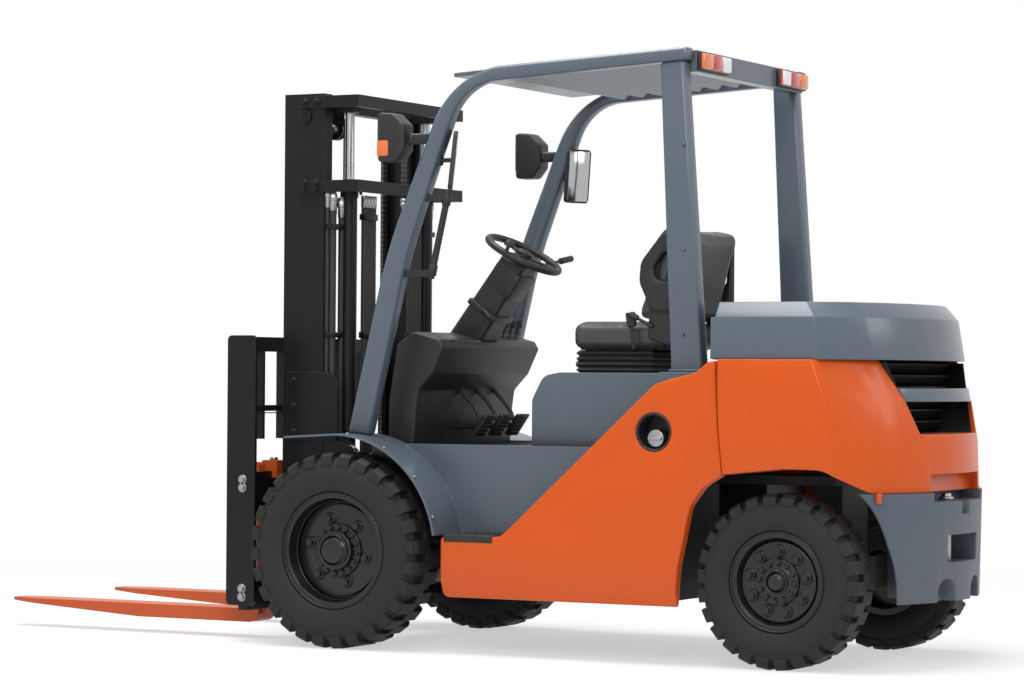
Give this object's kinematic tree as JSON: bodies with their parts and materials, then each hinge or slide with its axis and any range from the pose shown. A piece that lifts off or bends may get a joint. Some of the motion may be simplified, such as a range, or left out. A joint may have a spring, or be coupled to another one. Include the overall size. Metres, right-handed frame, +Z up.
{
  "type": "counterbalance forklift truck",
  "caption": "Engine driven counterbalance forklift truck with a two stage mast, sliding forks, overhead guard, opening hood and steered rear wheels.",
  "frame": {"origin": "on the floor under the middle of the whole truck", "axes": "+X forwards to the forks, +Y to the driver's left, +Z up"},
  "size_m": [3.7768, 1.2898, 2.117],
  "materials": {
    "orange_paint": "gloss",
    "grey_paint": "semi-gloss",
    "dark_grey_paint": "satin",
    "black_paint": "satin",
    "cast_base": "rough painted",
    "tyre_rubber": "matte",
    "rim_paint": "satin",
    "bright_rod": "polished",
    "bare_steel": "ground",
    "black_plastic": "grained",
    "seat_cover": "vinyl",
    "lamp_lens": "clear",
    "mirror_glass": "polished"
  },
  "bodies": {
    "chassis": {"frame": "dark_grey_paint", "side_panel_left": "orange_paint", "side_panel_right": "orange_paint", "cowl_left": "grey_paint", "cowl_right": "grey_paint", "floor_plate": "dark_grey_paint", "rear_deck": "grey_paint", "dash": "black_plastic", "steering_column": "black_plastic", "controls": "black_plastic", "guard_pillar_left": "grey_paint", "guard_pillar_right": "grey_paint", "guard_legs": "grey_paint", "guard_roof": "grey_paint", "rear_lamps": "lamp_lens", "head_lamps": "lamp_lens", "mirrors": "mirror_glass", "assist_grip": "black_paint", "counterweight_body": "orange_paint", "counterweight_base": "cast_base", "counterweight_cover": "grey_paint", "air_grille": "black_plastic", "drive_axle": "dark_grey_paint", "steer_axle": "dark_grey_paint", "power_unit": "dark_grey_paint", "fuel_filler": "black_plastic"},
    "hood": {"hood": "grey_paint", "seat_suspension": "black_plastic", "seat_cushion": "seat_cover", "seat_back": "seat_cover", "seat_wings": "black_plastic"},
    "hand_wheel": {"steering_wheel": "black_plastic"},
    "wheel_front_left": {"front_tyre_left": "tyre_rubber", "front_rim_left": "rim_paint"},
    "wheel_front_right": {"front_tyre_right": "tyre_rubber", "front_rim_right": "rim_paint"},
    "knuckle_left": {"knuckle_left": "dark_grey_paint"},
    "knuckle_right": {"knuckle_right": "dark_grey_paint"},
    "wheel_rear_left": {"rear_tyre_left": "tyre_rubber", "rear_rim_left": "rim_paint"},
    "wheel_rear_right": {"rear_tyre_right": "tyre_rubber", "rear_rim_right": "rim_paint"},
    "mast": {"mast_outer": "black_paint", "lift_barrels": "black_paint"},
    "inner_mast": {"mast_inner": "black_paint", "lift_rods": "bright_rod", "lift_chains": "bare_steel"},
    "carriage": {"carriage": "black_paint", "load_backrest": "black_paint"},
    "fork_left": {"fork_left": "orange_paint"},
    "fork_right": {"fork_right": "orange_paint"},
    "tilt_barrels": {"tilt_barrels": "black_paint"},
    "tilt_rods": {"tilt_rods": "bright_rod"}
  },
  "joints": [
    {"name": "front_left_spin", "type": "hinge", "parent": "chassis", "child": "wheel_front_left", "pos_m": [0.279, 0.54, 0.352], "axis": [0, 1, 0], "continuous": true},
    {"name": "front_right_spin", "type": "hinge", "parent": "chassis", "child": "wheel_front_right", "pos_m": [0.279, -0.54, 0.352], "axis": [0, 1, 0], "continuous": true},
    {"name": "steer_left", "type": "hinge", "parent": "chassis", "child": "knuckle_left", "pos_m": [-1.421, 0.36, 0.297], "axis": [0, 0, 1], "range_deg": [-75, 75]},
    {"name": "steer_right", "type": "hinge", "parent": "chassis", "child": "knuckle_right", "pos_m": [-1.421, -0.36, 0.297], "axis": [0, 0, 1], "range_deg": [-75, 75]},
    {"name": "rear_left_spin", "type": "hinge", "parent": "knuckle_left", "child": "wheel_rear_left", "pos_m": [-1.421, 0.483, 0.297], "axis": [0, 1, 0], "continuous": true},
    {"name": "rear_right_spin", "type": "hinge", "parent": "knuckle_right", "child": "wheel_rear_right", "pos_m": [-1.421, -0.483, 0.297], "axis": [0, 1, 0], "continuous": true},
    {"name": "mast_tilt", "type": "hinge", "parent": "chassis", "child": "mast", "pos_m": [0.279, 0, 0.352], "axis": [0, 1, 0], "range_deg": [-11, 6]},
    {"name": "inner_lift", "type": "slide", "parent": "mast", "child": "inner_mast", "axis": [0, 0, 1], "range_m": [0, 1.5]},
    {"name": "carriage_lift", "type": "slide", "parent": "inner_mast", "child": "carriage", "axis": [0, 0, 1], "range_m": [0, 1.5]},
    {"name": "fork_left_shift", "type": "slide", "parent": "carriage", "child": "fork_left", "axis": [0, 1, 0], "range_m": [-0.26, 0.13]},
    {"name": "fork_right_shift", "type": "slide", "parent": "carriage", "child": "fork_right", "axis": [0, -1, 0], "range_m": [-0.26, 0.13]},
    {"name": "tilt_barrel_swing", "type": "hinge", "parent": "chassis", "child": "tilt_barrels", "pos_m": [-0.117, 0, 0.5], "axis": [0, 1, 0], "range_deg": [-4.8, 2.7]},
    {"name": "tilt_rod_slide", "type": "slide", "parent": "tilt_barrels", "child": "tilt_rods", "axis": [0.9264, 0, 0.3766], "range_m": [-0.058, 0.032]},
    {"name": "hood_lift", "type": "hinge", "parent": "chassis", "child": "hood", "pos_m": [-0.926, 0, 0.986], "axis": [0, -1, 0], "range_deg": [0, 50]},
    {"name": "hand_wheel_turn", "type": "hinge", "parent": "chassis", "child": "hand_wheel", "pos_m": [-0.156, 0, 1.432], "axis": [-0.4695, 0, 0.8829], "continuous": true}
  ],
  "couplings": [
    {"joint": "steer_right", "follows": "steer_left", "ratio": 1},
    {"joint": "carriage_lift", "follows": "inner_lift", "ratio": 1},
    {"joint": "tilt_barrel_swing", "follows": "mast_tilt", "ratio": 0.411},
    {"joint": "tilt_rod_slide", "follows": "mast_tilt", "m_per_rad": 0.289}
  ]
}
